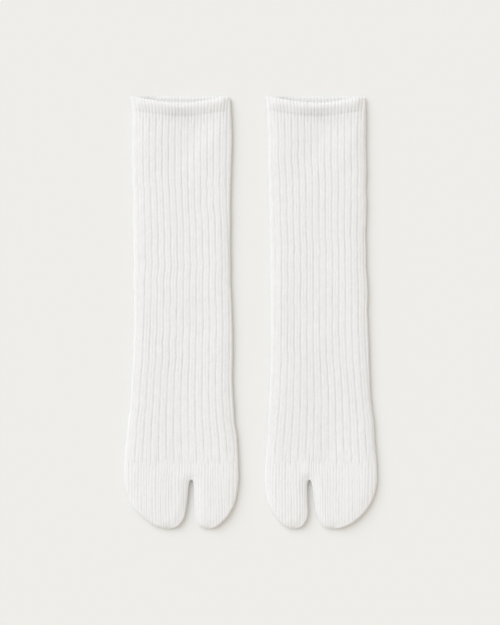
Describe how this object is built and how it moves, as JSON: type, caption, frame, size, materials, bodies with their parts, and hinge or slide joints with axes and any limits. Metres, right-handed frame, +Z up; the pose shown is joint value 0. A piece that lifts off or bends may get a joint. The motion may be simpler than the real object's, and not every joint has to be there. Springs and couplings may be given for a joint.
{
  "type": "pair of split-toe rib socks",
  "caption": "White rib-knit socks with a split toe, laid flat side by side, each with a turned welt, a ribbed leg and foot and a plain toe box",
  "frame": {"origin": "centre of the pair's box in plan, on the surface that the socks lie on", "axes": "+Y runs from the toes to the cuffs, +X across the pair from the right-foot sock to the left-foot sock, +Z up off the surface"},
  "size_m": [0.2108, 0.3604, 0.007],
  "materials": {
    "rib_knit": "soft white cotton-blend rib knit, matt with a light nap",
    "welt_knit": "white fine rib knit, turned double and soft, matt",
    "toe_jersey": "white plain jersey with fine wales, matt with a light nap"
  },
  "bodies": {
    "root": {"right_foot_welt": "welt_knit", "right_foot_leg": "rib_knit", "right_foot_toe": "toe_jersey", "left_foot_welt": "welt_knit", "left_foot_leg": "rib_knit", "left_foot_toe": "toe_jersey"}
  },
  "joints": []
}
